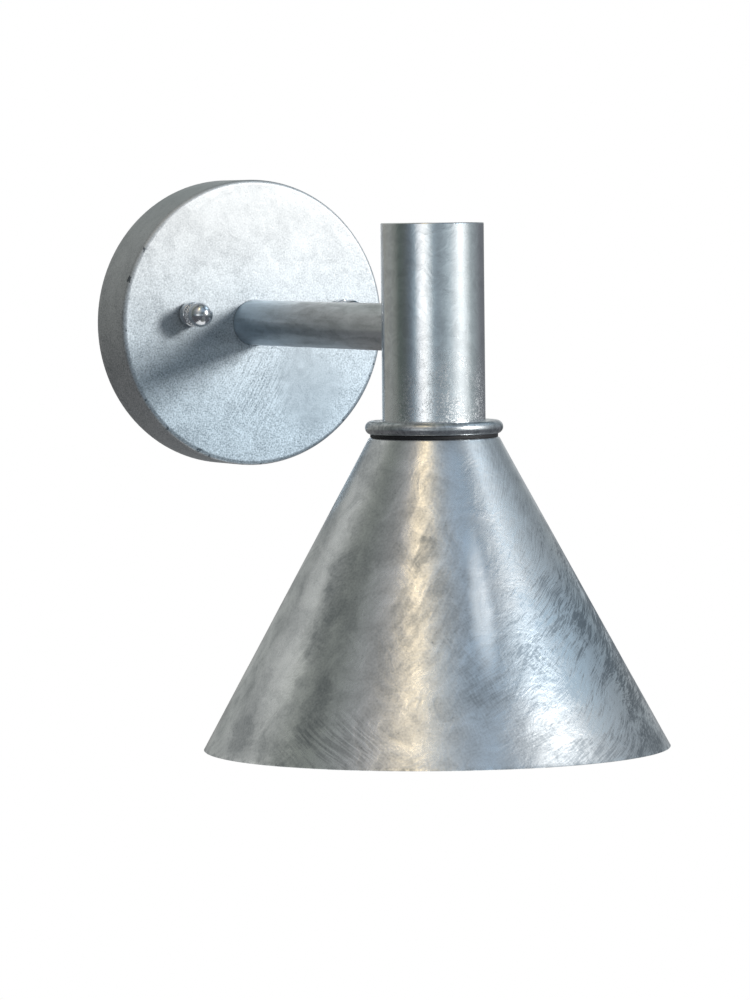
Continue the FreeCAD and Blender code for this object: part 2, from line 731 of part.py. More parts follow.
os.makedirs("parts", exist_ok=True)
wall_bracket()
bracket_studs()
stud_lock_nuts()
canopy()
seal_washers()
cap_nuts()
terminal_block()
terminal_screws()
earth_point()
arm_parts()
head_tube()
collar()
shade()
shade_ring()
hanging()
holder()
lamp()
wires()
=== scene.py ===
import json
import math

import bmesh
import bpy
from mathutils import Matrix, Vector, noise

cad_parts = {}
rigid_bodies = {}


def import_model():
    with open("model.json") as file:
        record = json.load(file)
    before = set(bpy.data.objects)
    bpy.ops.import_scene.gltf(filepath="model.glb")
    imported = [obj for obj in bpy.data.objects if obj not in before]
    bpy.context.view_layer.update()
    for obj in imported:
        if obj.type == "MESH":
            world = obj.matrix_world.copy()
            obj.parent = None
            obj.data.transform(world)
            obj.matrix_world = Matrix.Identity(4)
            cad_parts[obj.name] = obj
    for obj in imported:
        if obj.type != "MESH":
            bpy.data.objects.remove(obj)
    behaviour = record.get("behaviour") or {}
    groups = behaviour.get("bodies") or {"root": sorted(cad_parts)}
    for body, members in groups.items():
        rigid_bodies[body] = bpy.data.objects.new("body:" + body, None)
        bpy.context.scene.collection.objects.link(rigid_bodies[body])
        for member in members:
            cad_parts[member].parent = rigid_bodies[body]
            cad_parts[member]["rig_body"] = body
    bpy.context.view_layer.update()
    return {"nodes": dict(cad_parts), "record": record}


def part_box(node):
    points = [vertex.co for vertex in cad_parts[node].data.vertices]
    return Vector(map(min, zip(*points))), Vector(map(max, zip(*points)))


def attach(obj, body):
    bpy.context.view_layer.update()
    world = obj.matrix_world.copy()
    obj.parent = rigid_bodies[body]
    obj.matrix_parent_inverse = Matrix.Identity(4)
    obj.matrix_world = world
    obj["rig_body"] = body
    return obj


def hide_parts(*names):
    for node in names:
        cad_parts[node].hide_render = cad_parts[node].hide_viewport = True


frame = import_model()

mm = 0.001
scene = bpy.context.scene
print("frame loaded:", len(frame["nodes"]), "pieces")


# Where things are, read from the frame. The wall is y = 0 and the lamp hangs in front of it, at -y.

def span(node):
    low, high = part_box(node)
    return Vector(low), Vector(high)


def middle(node):
    low, high = span(node)
    return (low + high) / 2


def halfWidth(node):
    low, high = span(node)
    return (high.x - low.x) / 2


tubeAxis = Vector((0, middle("head_tube").y, 0))
lampCentre = Vector((0, tubeAxis.y / 2, span("shade")[0].z / 3))       # what the lights face


# Camera, solved from the photograph's outlines

viewSettings = {"place": (-1.16193, -2.56444, 0.05683), "azimuth": -25.925, "elevation": 3.076,
                "roll": 0.604, "lens": 193.18, "sensor": 36.0, "clip": (0.05, 50)}


def placeCamera(settings):
    azimuth, elevation, roll = (math.radians(settings[k]) for k in ("azimuth", "elevation", "roll"))
    ahead = Vector((-math.sin(azimuth) * math.cos(elevation), math.cos(azimuth) * math.cos(elevation),
                    -math.sin(elevation)))
    level = Vector((math.cos(azimuth), math.sin(azimuth), 0))
    top = level.cross(ahead)
    right = math.cos(roll) * level - math.sin(roll) * top
    above = math.sin(roll) * level + math.cos(roll) * top
    turn = Matrix((right, above, -ahead)).transposed()
    data = bpy.data.cameras.new("photoView")
    data.lens, data.sensor_width = settings["lens"], settings["sensor"]
    data.clip_start, data.clip_end = settings["clip"]
    camera = bpy.data.objects.new("photoView", data)
    camera.matrix_world = Matrix.Translation(settings["place"]) @ turn.to_4x4()
    scene.collection.objects.link(camera)
    scene.camera = camera


placeCamera(viewSettings)


# Shader sums: a Link is a socket that can be added, multiplied and so on

class Link:
    def __init__(self, graph, made, out):
        self.graph, self.made, self.socket = graph, made, made.outputs[out]

    def also(self, out):                            # another output of the same node
        return Link(self.graph, self.made, out)

    def sum(self, operation, *values):
        return self.graph.node("ShaderNodeMath", {"operation": operation}, dict(enumerate(values)))

    def __add__(self, other): return self.sum("ADD", self, other)
    def __sub__(self, other): return self.sum("SUBTRACT", self, other)
    def __rsub__(self, other): return self.sum("SUBTRACT", other, self)
    def __mul__(self, other): return self.sum("MULTIPLY", self, other)
    __radd__, __rmul__ = __add__, __mul__

    def above(self, low, high):                     # 0 below low, 1 above high, smooth between
        return self.ranged(low, high, 0, 1, "SMOOTHSTEP")

    def below(self, low, high):                     # 1 below low, 0 above high
        return self.ranged(low, high, 1, 0, "SMOOTHSTEP")

    def ranged(self, low, high, toLow, toHigh, curve="LINEAR"):
        return self.graph.node("ShaderNodeMapRange", {"interpolation_type": curve},
                               {"Value": self, "From Min": low, "From Max": high,
                                "To Min": toLow, "To Max": toHigh})


class Graph:
    def __init__(self, tree):
        self.tree = tree

    def node(self, kind, settings=None, sockets=None, out=0):
        made = self.tree.nodes.new(kind)
        for key, value in (settings or {}).items():
            if key == "stops":
                self.setStops(made.color_ramp, value)
            else:
                setattr(made, key, value)
        for key, value in (sockets or {}).items():
            self.feed(made.inputs[key], value)
        return Link(self, made, out) if made.outputs else None

    def setStops(self, ramp, stops):
        while len(ramp.elements) < len(stops):
            ramp.elements.new(1)
        for element, (position, colour) in zip(ramp.elements, stops):
            element.position, element.color = position, (*colour, 1)

    def feed(self, socket, value):
        if isinstance(value, Link):
            self.tree.links.new(value.socket, socket)
        elif socket.type == "RGBA" and len(value) == 3:
            socket.default_value = (*value, 1)
        else:
            socket.default_value = value

    def mix(self, share, a, b):
        return self.node("ShaderNodeMix", {"data_type": "RGBA"}, {0: share, 6: a, 7: b}, out=2)

    def vector(self, operation, a, b):
        return self.node("ShaderNodeVectorMath", {"operation": operation}, {0: a, 1: b})

    def bearing(self, split):                       # degrees about +z, 0 towards -y, growing to +x
        angle = split.sum("ARCTAN2", split, split.also("Y") * -1)
        return angle * (180 / math.pi)


class Finish(Graph):
    def __init__(self, name, colour, **fixed):
        self.material = bpy.data.materials.new(name)
        self.material.use_nodes = True
        super().__init__(self.material.node_tree)
        self.shader = self.tree.nodes["Principled BSDF"]
        self.set(Base_Color=colour, **fixed)
        self.place = self.node("ShaderNodeTexCoord", out="Object")

    def set(self, **values):
        for key, value in values.items():
            self.feed(self.shader.inputs[key.replace("_", " ")], value)

    # Sizes and distances given to the methods below are in mm; radii and places are in metres.

    def cloud(self, size, detail, rough=0.55, warp=0.0, place=None):        # soft noise
        sockets = {"Vector": place or self.place, "Scale": 1 / (size * mm),
                   "Detail": detail, "Roughness": rough, "Distortion": warp}
        return self.node("ShaderNodeTexNoise", {}, sockets)

    def warped(self, size, reach, place=None):      # the place, pushed about by noise
        place = place or self.place
        sockets = {"Vector": place, "Scale": 1 / (size * mm), "Detail": 2}
        push = self.node("ShaderNodeTexNoise", {}, sockets, out="Color")
        centred = self.vector("SUBTRACT", push, (0.5, 0.5, 0.5))
        scaled = self.node("ShaderNodeVectorMath", {"operation": "SCALE"}, {0: centred, "Scale": reach * mm})
        return self.vector("ADD", place, scaled)

    def cells(self, size, place):                   # one random grey for each crystal
        sockets = {"Vector": place, "Scale": 1 / (size * mm)}
        colour = self.node("ShaderNodeTexVoronoi", {}, sockets, out="Color")
        return self.node("ShaderNodeSeparateColor", {}, {0: colour})

    def wrapped(self, axis, radius):                # unrolled: distance round the axis, and height
        split = self.node("ShaderNodeSeparateXYZ", {}, {0: self.vector("SUBTRACT", self.place, axis)})
        along = self.bearing(split) * (math.pi / 180 * radius)
        return self.node("ShaderNodeCombineXYZ", {}, {0: along, 1: split.also("Z"), 2: 0.0})

    def mark(self, flat, at, size, tilt, soft):     # a soft oval on a flat or unrolled surface
        local = self.node("ShaderNodeMapping", {"vector_type": "TEXTURE"},
                          {"Vector": flat, "Location": (*at, 0), "Rotation": (0, 0, math.radians(tilt)),
                           "Scale": (*size, 1)})
        reach = self.node("ShaderNodeVectorMath", {"operation": "LENGTH"}, {0: local}, out="Value")
        return reach.below(1 - soft, 1 + soft)

    def bump(self, height, distance, under=None):
        sockets = {"Height": height, "Distance": distance * mm}
        if under:
            sockets["Normal"] = under
        return self.node("ShaderNodeBump", {}, sockets, out="Normal")


# Zinc. Each look has the two greys it runs between, and each layer's size in mm and how much it counts.

zincLooks = {
    "dish": {"light": (0.66, 0.67, 0.68), "dark": (0.17, 0.185, 0.20), "level": 0.71, "cell": 16,
             "cellDepth": 0.05, "cloud": 34, "cloudDepth": 0.10, "swirl": 10, "swirlDepth": 0.05,
             "grain": 0.85, "grainDepth": 0.56, "speck": 0.9, "speckEdge": 0.57, "speckDepth": 0.16,
             "rough": (0.66, 0.56), "wave": 0.10, "pit": 0.036},
    "tube": {"light": (0.82, 0.83, 0.84), "dark": (0.34, 0.35, 0.36), "level": 0.78, "cell": 9,
             "cellDepth": 0.08, "cloud": 18, "cloudDepth": 0.18, "swirl": 6, "swirlDepth": 0.10,
             "grain": 0.7, "grainDepth": 0.16, "speck": 0.7, "speckEdge": 0.47, "speckDepth": 0.34,
             "rough": (0.26, 0.16), "wave": 0.05, "pit": 0.034},
    "arm": {"light": (0.72, 0.73, 0.74), "dark": (0.22, 0.23, 0.23), "level": 0.63, "cell": 10,
            "cellDepth": 0.08, "cloud": 15, "cloudDepth": 0.26, "swirl": 6, "swirlDepth": 0.12,
            "grain": 0.8, "grainDepth": 0.10, "speck": 1.4, "speckEdge": 0.62, "speckDepth": 0.20,
            "rough": (0.40, 0.28), "wave": 0.05, "pit": 0.006, "drawn": (1, 0.3, 1)},
    "collar": {"light": (0.72, 0.74, 0.75), "dark": (0.22, 0.24, 0.26), "level": 0.58, "cell": 5,
               "cellDepth": 0.16, "cloud": 9, "cloudDepth": 0.32, "swirl": 4, "swirlDepth": 0.25,
               "grain": 0.7, "grainDepth": 0.16, "speck": 1.2, "speckEdge": 0.58, "speckDepth": 0.25,
               "rough": (0.42, 0.26), "wave": 0.07, "pit": 0.025},
    "shade": {"light": (0.94, 0.95, 0.96), "dark": (0.22, 0.24, 0.26), "level": 0.56, "cell": 20,
              "cellDepth": 0.07, "cloud": 42, "cloudDepth": 0.24, "swirl": 17, "swirlDepth": 0.12,
              "grain": 1.1, "grainDepth": 0.17, "speck": 1.7, "speckEdge": 0.61, "speckDepth": 0.20,
              "rough": (0.42, 0.22), "wave": 0.16, "pit": 0.016, "pebble": (4.5, 0.30)},
}


# What every look shares. A noise has its detail, roughness and warp; a push or a cell size is a share of
# the look's cell.
zincLayers = {"push": (1.2, 1.3), "cells": ((1, 0.7), (0.35, 0.3)), "cloud": (5, 0.60, 0.6),
              "swirl": (4, 0.55, 1.0), "swirlCut": (0.30, 0.70), "grain": (1, 0.5), "speck": (3, 0.7),
              "speckSoft": 0.14, "pebble": (3, 0.55, 0.5), "swell": (0.6, 0.4), "speckPit": 0.25,
              "streak": (0.6, 0.1), "toneSpan": (-0.1, 1.1), "paintedCoolTint": (0.83, 0.96, 1.06)}


class Zinc(Finish):
    def __init__(self, name):
        self.look = look = zincLooks[name]
        layers = zincLayers
        super().__init__("zinc_" + name, look["light"], Metallic=1.0)
        if "drawn" in look:                         # a pattern drawn out along one axis
            self.place = self.vector("MULTIPLY", self.place, look["drawn"])
        pushed = self.warped(*(look["cell"] * share for share in layers["push"]))
        large, small = (self.cells(look["cell"] * size, pushed) * share for size, share in layers["cells"])
        cloudy = self.cloud(look["cloud"], *layers["cloud"])
        swirl = self.cloud(look["swirl"], *layers["swirl"]).above(*layers["swirlCut"])
        self.grainy = self.cloud(look["grain"], *layers["grain"])
        edge = look["speckEdge"]
        self.speck = self.cloud(look["speck"], *layers["speck"]).above(edge, edge + layers["speckSoft"])
        tone = look["level"] + (large + small - 0.5) * (2 * look["cellDepth"])
        tone = tone + (cloudy - 0.5) * (3 * look["cloudDepth"])         # soft noise fills about 2/3 of 0 to 1
        self.tone = tone + (swirl - 0.5) * (2 * look["swirlDepth"])
        self.grainShare = self.speckShare = 1.0
        self.height = cloudy * layers["swell"][0] + swirl * layers["swell"][1]
        if "pebble" in look:
            size, share = look["pebble"]
            self.height = self.height + self.cloud(size, *layers["pebble"]) * share
        self.cool = self.dull = None

    def streaks(self, size, tilt, flat, stretch=16, cut=(0.38, 0.62), detail=3):        # strokes, 0 to 1
        along = self.node("ShaderNodeMapping", {"vector_type": "TEXTURE"},
                          {"Vector": flat, "Rotation": (0, 0, math.radians(tilt)), "Scale": (1, stretch, 1)})
        return self.cloud(size, detail, *zincLayers["streak"], along).above(*cut)

    def finish(self):
        look, layers = self.look, zincLayers
        grain, speck = (self.grainy - 0.5) * self.grainShare, self.speck * self.speckShare
        tone = self.tone + grain * (2 * look["grainDepth"]) - speck * look["speckDepth"]
        colour = self.mix(tone.above(*layers["toneSpan"]), look["dark"], look["light"])
        # The cool mask tints the colour bluer: a painted cool reflection where a look sets it
        if self.cool:
            colour = self.mix(self.cool, colour, self.vector("MULTIPLY", colour, layers["paintedCoolTint"]))
        rough = tone.ranged(0.0, 1.0, *look["rough"])
        swell = self.bump(self.height, look["wave"])
        self.set(Base_Color=colour, Roughness=rough + self.dull if self.dull else rough,
                 Normal=self.bump(grain - speck * layers["speckPit"], look["pit"], under=swell))
        return self.material


# Places on the dish are its own x and z in metres, and a tilt of 0 is upright. Fades go by height as a share
# of the radius. The seam is measured out from the arm, and the rim and the side in from the dish's edge, in
# mm; the front is metres from the wall.
# rise and across paint light into the colour: the dish lighter towards its top and right
dishMarks = {"rise": 0.12, "across": 0.05, "grainFade": (-0.4, 1.4), "paintedCoolFade": (-0.9, 0.9),
             "smooth": ((0.030, -0.034), (0.019, 0.022), 0, 0.3), "smoothWarp": (12, 12),
             "smoothShadeTone": 0.10, "smoothGrain": 0.8,
             "brushed": ((0.002, -0.034), (0.017, 0.022), 0, 0.6), "brushSize": 0.9, "brushTilt": -30,
             "brushDepth": 0.26, "seam": (0.15, 0.5), "seamTone": 0.25, "rim": (3.2, 1.2),
             "front": (0.0285, 0.0310), "nick": (5.0, 2, 0.6), "nickCut": (0.66, 0.70), "nickTone": 0.9,
             "side": (1.0, 0.2), "sideShadeTone": -0.02}


def dishZinc():
    zinc = Zinc("dish")
    marks = dishMarks
    radius, root = halfWidth("canopy"), halfWidth("arm_tube")
    split = zinc.node("ShaderNodeSeparateXYZ", {}, {0: zinc.place})
    flat = zinc.node("ShaderNodeCombineXYZ", {}, {0: split, 1: split.also("Z"), 2: 0.0})
    fromAxis = zinc.node("ShaderNodeVectorMath", {"operation": "LENGTH"}, {0: flat}, out="Value")
    height, across = split.also("Z") * (1 / radius), split * (1 / radius)
    smooth = zinc.mark(zinc.warped(*marks["smoothWarp"], flat), *marks["smooth"])
    brushed = zinc.streaks(marks["brushSize"], marks["brushTilt"], flat) - 0.5
    brushed = brushed * zinc.mark(flat, *marks["brushed"])
    seam = fromAxis.below(*(root + reach * mm for reach in marks["seam"]))
    rim, side = (fromAxis.above(*(radius - reach * mm for reach in marks[k])) for k in ("rim", "side"))
    front = (split.also("Y") * -1).above(*marks["front"])
    nick = zinc.cloud(*marks["nick"]).above(*marks["nickCut"])
    # Painted light: rise and across make the dish lighter towards its top and right
    zinc.tone = zinc.tone + height * marks["rise"] + across * marks["across"]
    # Painted shade: the smooth patch below the arm is darker; it also has less grain
    zinc.tone = zinc.tone + brushed * marks["brushDepth"] - smooth * marks["smoothShadeTone"]
    zinc.tone = zinc.tone - seam * marks["seamTone"] - rim * front * nick * marks["nickTone"]
    # Painted shade: the rim's side is a little darker
    zinc.tone = zinc.tone + side * marks["sideShadeTone"]
    zinc.grainShare = (1 - smooth * marks["smoothGrain"]) * height.below(*marks["grainFade"])
    # Painted cool reflection: the dish is bluer lower down, but not on the rim's side
    zinc.cool = height.below(*marks["paintedCoolFade"]) * (1 - side)
    return zinc.finish()


# The arm runs along y: paler and cooler near the wall, a painted reflection of the bright dish, with long
# soft streaks

armMarks = {"nearWallReflection": (-0.125, -0.040), "rise": 0.18, "streak": 4.0, "stretch": 16, "depth": 0.16}


def armZinc():
    zinc = Zinc("arm")
    marks = armMarks
    split = zinc.node("ShaderNodeSeparateXYZ", {}, {0: zinc.node("ShaderNodeTexCoord", out="Object")})
    nearWallReflection = split.also("Y").above(*marks["nearWallReflection"])
    flat = zinc.node("ShaderNodeCombineXYZ", {}, {0: split.also("Z"), 1: split.also("Y"), 2: split})
    lines = zinc.streaks(marks["streak"], 0, flat, marks["stretch"])
    # Painted reflection: the arm is paler and bluer near the wall
    zinc.tone = zinc.tone + nearWallReflection * marks["rise"] + (lines - 0.5) * marks["depth"]
    zinc.cool = nearWallReflection
    return zinc.finish()


# Flecks stand closest in three upright patches low on the tube; each has its unrolled place and half sizes
tubeMarks = {"low": (-0.048, 0.020), "cluster": (9, 3, 0.6), "clusterCut": (0.35, 0.60),
             "speckMore": 0.6, "speckLeast": 0.10, "grainMore": 1.2, "grainLeast": 0.30, "warp": (4, 5),
             "between": 0.4, "within": 0.7, "soft": 0.7, "pale": 0.40, "dull": 0.42,
             "patches": (((-0.0262, -0.0420), (0.0052, 0.0190)), ((-0.0070, -0.0420), (0.0056, 0.0240)),
                         ((0.0165, -0.0420), (0.0050, 0.0220)))}


def tubeZinc():
    zinc = Zinc("tube")
    marks = tubeMarks
    height = zinc.node("ShaderNodeSeparateXYZ", {}, {0: zinc.place}).also("Z")
    cluster = zinc.cloud(*marks["cluster"]).above(*marks["clusterCut"])
    crowd = height.below(*marks["low"]) * cluster
    zinc.speckShare = crowd * marks["speckMore"] + marks["speckLeast"]
    zinc.grainShare = crowd * marks["grainMore"] + marks["grainLeast"]
    flat = zinc.warped(*marks["warp"], zinc.wrapped(tuple(tubeAxis), halfWidth("head_tube")))
    flecks = crowd * marks["between"]
    for at, size in marks["patches"]:
        flecks = flecks + zinc.mark(flat, at, size, 0, marks["soft"]) * marks["within"]
    flecks = flecks * zinc.speck
    zinc.tone = zinc.tone + flecks * marks["pale"]
    zinc.dull = flecks * marks["dull"]
    return zinc.finish()


# Places on the shade are unrolled: metres round the axis from the front at the radius given, and height.
# A warp has its size and reach in mm.
shadeRadius = 0.072
shadeWarps = {"fine": (2.5, 3), "coarse": (9, 13), "bend": (70, 24), "strip": (6, 3)}
# Each mark has its place, its half sizes, its tilt and how much lighter or darker it is
markSoft = 0.3
shadeMarks = (
    # The first mark is a painted highlight, lighter where the key's glint on the shade is brightest
    ((0.0270, -0.1680), (0.0210, 0.0230), 7, 0.30), ((0.0403, -0.1047), (0.0220, 0.0240), -7, 0.12),
    ((0.0772, -0.1237), (0.0090, 0.0170), 0, -0.40), ((0.0658, -0.1594), (0.0120, 0.0236), -25, -0.34),
    ((-0.0143, -0.1713), (0.0083, 0.0196), 14, -0.14), ((-0.1030, -0.1392), (0.0100, 0.0587), 7, 0.14),
    ((-0.0866, -0.1213), (0.0070, 0.0357), -1, -0.13), ((-0.0604, -0.1237), (0.0090, 0.0144), -9, 0.16),
    ((-0.0679, -0.1571), (0.0085, 0.0116), -11, 0.14), ((-0.0982, -0.1654), (0.0080, 0.0132), -7, 0.16),
    ((-0.0782, -0.1785), (0.0060, 0.0168), -6, -0.22),
    ((-0.0390, -0.1047), (0.0070, 0.0050), 39, -0.22), ((-0.0100, -0.0850), (0.0140, 0.0260), 0, 0.16),
    ((0.0322, -0.1464), (0.0100, 0.0415), 108, -0.18),
    # Painted shade: darker along the low right rim, holding the key's glint down there
    ((0.0330, -0.1990), (0.0340, 0.0075), 0, -0.26),
)
# The mottled cut edge, its band in mm above the lowest point; then one pale strip, a painted reflection, and
# one cool patch, a painted cool reflection
edgeMarks = {"band": (0.4, 2.4), "drops": (6.0, 3, 0.7), "cut": (0.36, 0.64), "depth": 0.36}
paintedReflectionStrip = {"mark": ((-0.0122, -0.1292), (0.0046, 0.0260), -3, 0.6), "tone": 0.34, "dull": 0.15}
paintedCoolPatch = {"mark": ((0.0322, -0.1464), (0.0240, 0.0520), 108, 0.6), "share": 0.6}
# Each brushed patch has its place, its half sizes, the strokes' width in mm, tilt and stretch, and its depth
brushMarks = (
    ((0.0354, -0.1560), (0.0420, 0.0460), 0.6, -58, 60, 0.50),
    ((0.0400, -0.1580), (0.0420, 0.0400), 0.9, -50, 50, 0.44),
    ((0.0460, -0.1500), (0.0460, 0.0440), 4.0, -60, 4, 0.56),
    ((0.0420, -0.1660), (0.0300, 0.0300), 0.5, -72, 60, 0.34),
    ((-0.0683, -0.1928), (0.0170, 0.0130), 1.1, 46, 18, 0.34),
    ((0.0340, -0.1000), (0.0360, 0.0400), 0.8, -56, 40, 0.34),
    ((-0.0300, -0.1200), (0.0300, 0.0450), 2.4, -30, 12, 0.16),
    ((0.0340, -0.1650), (0.0500, 0.0360), 0.45, 24, 70, 0.24),
    ((0.0600, -0.1480), (0.0220, 0.0500), 0.6, -74, 60, 0.40),
    ((0.0520, -0.1450), (0.0420, 0.0480), 9.0, -62, 2, 0.56),
)
# Strokes of at least the broad width have softer edges; the relief is a share of their width
brushLook = {"broad": 2, "fineSoft": 0.12, "broadSoft": 0.24, "areaSoft": 0.7, "relief": 0.06, "detail": 1}
scratchMarks = {"area": ((0.0420, -0.1500), (0.0420, 0.0480), 0, 0.6), "width": 0.5, "tilts": (-44, -60, -72),
                "stretch": 70, "cut": (0.62, 0.74), "depth": 0.38}


def shadeZinc():
    zinc = Zinc("shade")
    flat = zinc.wrapped(tuple(tubeAxis), shadeRadius)
    uneven = zinc.warped(*shadeWarps["coarse"], zinc.warped(*shadeWarps["fine"], flat))
    for at, size, tilt, depth in shadeMarks:
        zinc.tone = zinc.tone + zinc.mark(uneven, at, size, tilt, markSoft) * depth

    bent = zinc.warped(*shadeWarps["bend"], flat)
    look = brushLook
    for at, size, width, tilt, stretch, depth in brushMarks:
        soft = look["fineSoft"] if width < look["broad"] else look["broadSoft"]
        strokes = zinc.streaks(width, tilt, bent, stretch, (0.5 - soft, 0.5 + soft), look["detail"]) - 0.5
        strokes = strokes * zinc.mark(uneven, at, size, 0, look["areaSoft"])
        zinc.tone = zinc.tone + strokes * depth
        zinc.height = zinc.height + strokes * depth * (look["relief"] * width)
    marks = scratchMarks
    area = zinc.mark(uneven, *marks["area"])
    for tilt in marks["tilts"]:
        scratch = zinc.streaks(marks["width"], tilt, bent, marks["stretch"], marks["cut"], look["detail"])
        zinc.tone = zinc.tone - scratch * area * marks["depth"]

    height = zinc.node("ShaderNodeSeparateXYZ", {}, {0: zinc.place}).also("Z")
    low = span("shade")[0].z
    edge = height.below(*(low + up * mm for up in edgeMarks["band"]))
    drops = zinc.cloud(*edgeMarks["drops"]).above(*edgeMarks["cut"])
    zinc.tone = zinc.tone + edge * (drops - 0.5) * edgeMarks["depth"]
    # Painted reflection: a pale upright strip, also a little rougher
    strip = zinc.mark(zinc.warped(*shadeWarps["strip"], flat), *paintedReflectionStrip["mark"])
    zinc.tone = zinc.tone + strip * paintedReflectionStrip["tone"]
    zinc.dull = strip * paintedReflectionStrip["dull"]
    # Painted cool reflection: the shade is bluer across its middle band
    zinc.cool = zinc.mark(uneven, *paintedCoolPatch["mark"]) * paintedCoolPatch["share"]
    return zinc.finish()


# Plain finishes. A noise has its size in mm, detail and roughness; haze varies the colour, and where a look
# serves several finishes "rough" is shares of the finish's own roughness.
noiseSpan = (0.3, 0.7)                              # where most of a noise's values lie
polishedLook = {"colour": (0.66, 0.67, 0.69), "haze": (1.5, 3), "rough": (0.16, 0.26), "bump": 0.01}
platedLook = {"haze": (6, 4, 0.6), "fine": (0.5, 2, 0.6), "dull": 0.72, "rough": (0.8, 1.3), "bump": 0.02}
mouldedLook = {"haze": (14, 3), "fine": (0.4, 2), "dull": 0.86, "rough": (0.85, 1.2), "bump": 0.015}
rubberLook = {"colour": (0.012, 0.012, 0.014), "rough": 0.62, "dust": (2, 4), "cut": (0.55, 0.8),
              "clean": (0.010, 0.010, 0.012), "dusty": (0.05, 0.05, 0.05), "bump": 0.02}
opalLook = {"colour": (0.90, 0.90, 0.87), "rough": 0.35, "haze": (20, 2), "low": (0.86, 0.86, 0.83),
            "high": (0.92, 0.92, 0.90)}


def polishedFinish(look):
    steel = Finish("polished_nut", look["colour"], Metallic=1.0)
    haze = steel.cloud(*look["haze"])
    steel.set(Roughness=haze.ranged(*noiseSpan, *look["rough"]), Normal=steel.bump(haze, look["bump"]))
    return steel.material


def platedFinish(name, colour, rough):
    plate, look = Finish(name, colour, Metallic=1.0), platedLook
    haze, fine = plate.cloud(*look["haze"]), plate.cloud(*look["fine"])
    dull = tuple(c * look["dull"] for c in colour)
    plate.set(Base_Color=plate.mix(haze.above(*noiseSpan), dull, colour),
              Roughness=haze.ranged(*noiseSpan, *(rough * share for share in look["rough"])),
              Normal=plate.bump(fine, look["bump"]))
    return plate.material


def mouldedFinish(name, colour, rough):
    plastic, look = Finish(name, colour), mouldedLook
    haze, fine = plastic.cloud(*look["haze"]), plastic.cloud(*look["fine"])
    dull = tuple(c * look["dull"] for c in colour)
    plastic.set(Base_Color=plastic.mix(haze.above(*noiseSpan), dull, colour),
                Roughness=fine.ranged(*noiseSpan, *(rough * share for share in look["rough"])),
                Normal=plastic.bump(fine, look["bump"]))
    return plastic.material


def rubberFinish(look):
    rubber = Finish("seal_rubber", look["colour"], Roughness=look["rough"])
    dust = rubber.cloud(*look["dust"])
    rubber.set(Base_Color=rubber.mix(dust.above(*look["cut"]), look["clean"], look["dusty"]),
               Normal=rubber.bump(dust, look["bump"]))
    return rubber.material


def opalFinish(look):
    opal = Finish("opal_globe", look["colour"], Roughness=look["rough"])
    haze = opal.cloud(*look["haze"])
    opal.set(Base_Color=opal.mix(haze.above(*noiseSpan), look["low"], look["high"]))
    return opal.material


finishes = {
    "galvanised_dish": dishZinc(), "galvanised_tube": tubeZinc(), "galvanised_shade": shadeZinc(),
    "polished_nut": polishedFinish(polishedLook), "seal_rubber": rubberFinish(rubberLook),
    "opal": opalFinish(opalLook),
    "zinc_strap": platedFinish("zinc_strap", (0.60, 0.62, 0.66), 0.30),
    "zinc_screw": platedFinish("zinc_screw", (0.66, 0.67, 0.69), 0.24),
    "brass": platedFinish("brass", (0.74, 0.56, 0.25), 0.26),
    "nickel_cap": platedFinish("nickel_cap", (0.68, 0.66, 0.62), 0.25),
    "led_board": mouldedFinish("led_board", (0.82, 0.82, 0.78), 0.4),
    "white_plastic": mouldedFinish("white_plastic", (0.80, 0.80, 0.76), 0.42),
    "holder_plastic": mouldedFinish("holder_plastic", (0.030, 0.030, 0.032), 0.38),
    "ceramic": mouldedFinish("ceramic", (0.84, 0.82, 0.76), 0.18),
    "lamp_body": mouldedFinish("lamp_body", (0.86, 0.86, 0.84), 0.35),
    "black_glass": mouldedFinish("black_glass", (0.02, 0.02, 0.024), 0.12),
    "brown_insulation": mouldedFinish("brown_insulation", (0.16, 0.055, 0.02), 0.4),
    "blue_insulation": mouldedFinish("blue_insulation", (0.02, 0.10, 0.42), 0.4),
    "earth_insulation": mouldedFinish("earth_insulation", (0.25, 0.42, 0.03), 0.4),
}
ownFinish = {"arm_tube": armZinc(), "collar_ring": Zinc("collar").finish()}
print("finishes made:", len(finishes) + len(ownFinish))

# Each node gets the finish of its slot, or one of its own
nodeSlots = {row["node"]: row["material_slot"] for row in frame["record"]["subparts"]}
nodeBodies = {name: node["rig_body"] for name, node in frame["nodes"].items()}
for nodeName, node in frame["nodes"].items():
    node.data.materials.clear()
    node.data.materials.append(ownFinish.get(nodeName, finishes[nodeSlots[nodeName]]))


# Turned pieces. A profile is a list of (radius, height) in mm; shape(radius, height, turn) may change the
# radius round the turn, for beads, threads and dents. A radius of 0 closes the end.

